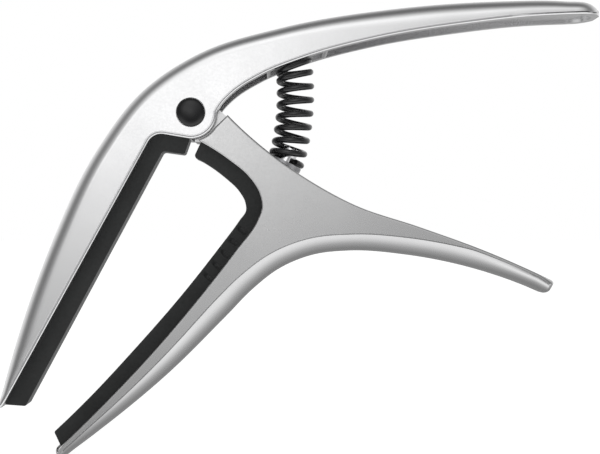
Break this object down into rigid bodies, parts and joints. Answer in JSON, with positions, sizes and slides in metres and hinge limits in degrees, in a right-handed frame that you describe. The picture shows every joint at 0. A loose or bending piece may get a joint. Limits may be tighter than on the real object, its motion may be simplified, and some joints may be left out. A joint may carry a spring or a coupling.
{
  "type": "guitar capo",
  "caption": "Sprung trigger capo: a channel-shaped upper arm with a straight rubber-faced jaw and a V-shaped lower arm with a curved rubber-faced jaw, hinged on a pin.",
  "frame": {"origin": "middle of the fret pad's pressing face, halfway across the arms", "axes": "the profile lies in the XZ plane: +X towards the ends of the handles, +Z towards the upper handle, +Y across the arms from the front face to the rear face"},
  "size_m": [0.1221, 0.0138, 0.0923],
  "materials": {
    "upper_arm_alloy": "satin pearl plating over cast aluminium",
    "lower_arm_alloy": "satin pearl plating over cast aluminium",
    "pad_rubber": "matt moulded black rubber",
    "pin_steel": "ground steel",
    "bush_bronze": "sintered bronze",
    "cap_black": "satin black",
    "washer_nylon": "natural nylon",
    "spring_black": "black oxide spring wire",
    "seat_plated": "satin",
    "seat_steel": "plated steel",
    "post_bright": "bright plating"
  },
  "bodies": {
    "upper": {"upper_arm": "upper_arm_alloy", "fret_pad": "pad_rubber", "pivot_pin": "pin_steel", "front_pivot_cap": "cap_black", "rear_pivot_cap": "cap_black", "upper_spring_seat": "seat_plated", "main_spring": "spring_black"},
    "lower": {"lower_arm": "lower_arm_alloy", "neck_pad": "pad_rubber", "pivot_bush": "bush_bronze", "front_thrust_washer": "washer_nylon", "rear_thrust_washer": "washer_nylon", "lower_spring_seat": "seat_steel", "spring_post": "post_bright"}
  },
  "joints": [
    {"name": "jaw_pivot", "type": "hinge", "parent": "upper", "child": "lower", "pos_m": [0.0194, 0, 0.0326], "axis": [0, -1, 0], "range_deg": [0, 18], "stiffness_Nm_per_rad": 1.25, "springref_deg": -31.51, "deforming": ["main_spring"]}
  ]
}
